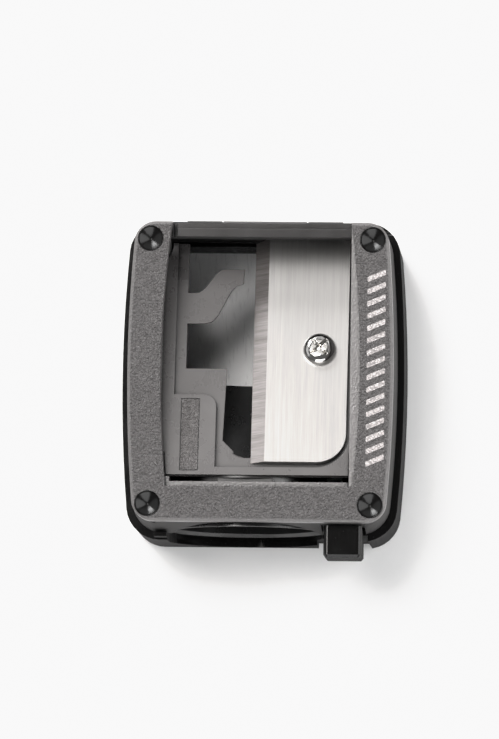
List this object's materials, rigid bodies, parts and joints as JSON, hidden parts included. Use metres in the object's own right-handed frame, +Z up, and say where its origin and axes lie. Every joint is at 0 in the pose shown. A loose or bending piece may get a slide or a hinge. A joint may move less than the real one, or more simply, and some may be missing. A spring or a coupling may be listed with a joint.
{
  "type": "pencil sharpener",
  "caption": "Pencil sharpener for thick cosmetic pencils: screwed steel blade on an inclined deck, textured U-shaped frame, hinged shavings tray and pull-out cleaning stick.",
  "frame": {"origin": "middle of the whole object's footprint, on the table", "axes": "+Z up, -Y towards the side where the pencil goes in, +X to the right seen from there"},
  "size_m": [0.0326, 0.0392, 0.021],
  "materials": {
    "textured_plastic": "spark-textured black plastic",
    "satin_plastic": "smooth satin black plastic",
    "gloss_plastic": "glossy black plastic",
    "clear_plastic": "clear colourless plastic",
    "blade_steel": "ground tool steel, brushed lengthwise, cross-ground bevel",
    "chrome": "bright plated steel",
    "pin_steel": "drawn steel wire"
  },
  "bodies": {
    "base": {"tray": "gloss_plastic", "clear_bottom": "clear_plastic", "hinge_pin": "pin_steel"},
    "head": {"top_frame": "textured_plastic", "corner_pins": "gloss_plastic", "upper_housing": "satin_plastic", "sharpener_core": "satin_plastic", "blade": "blade_steel", "blade_screw": "chrome"},
    "stick": {"cleaning_stick": "gloss_plastic"}
  },
  "joints": [
    {"name": "head_hinge", "type": "hinge", "parent": "base", "child": "head", "pos_m": [0, 0.0186, 0.013], "axis": [-1, 0, 0], "range_deg": [0, 85]},
    {"name": "stick_slide", "type": "slide", "parent": "head", "child": "stick", "axis": [0, -1, 0], "range_m": [0, 0.032]}
  ]
}
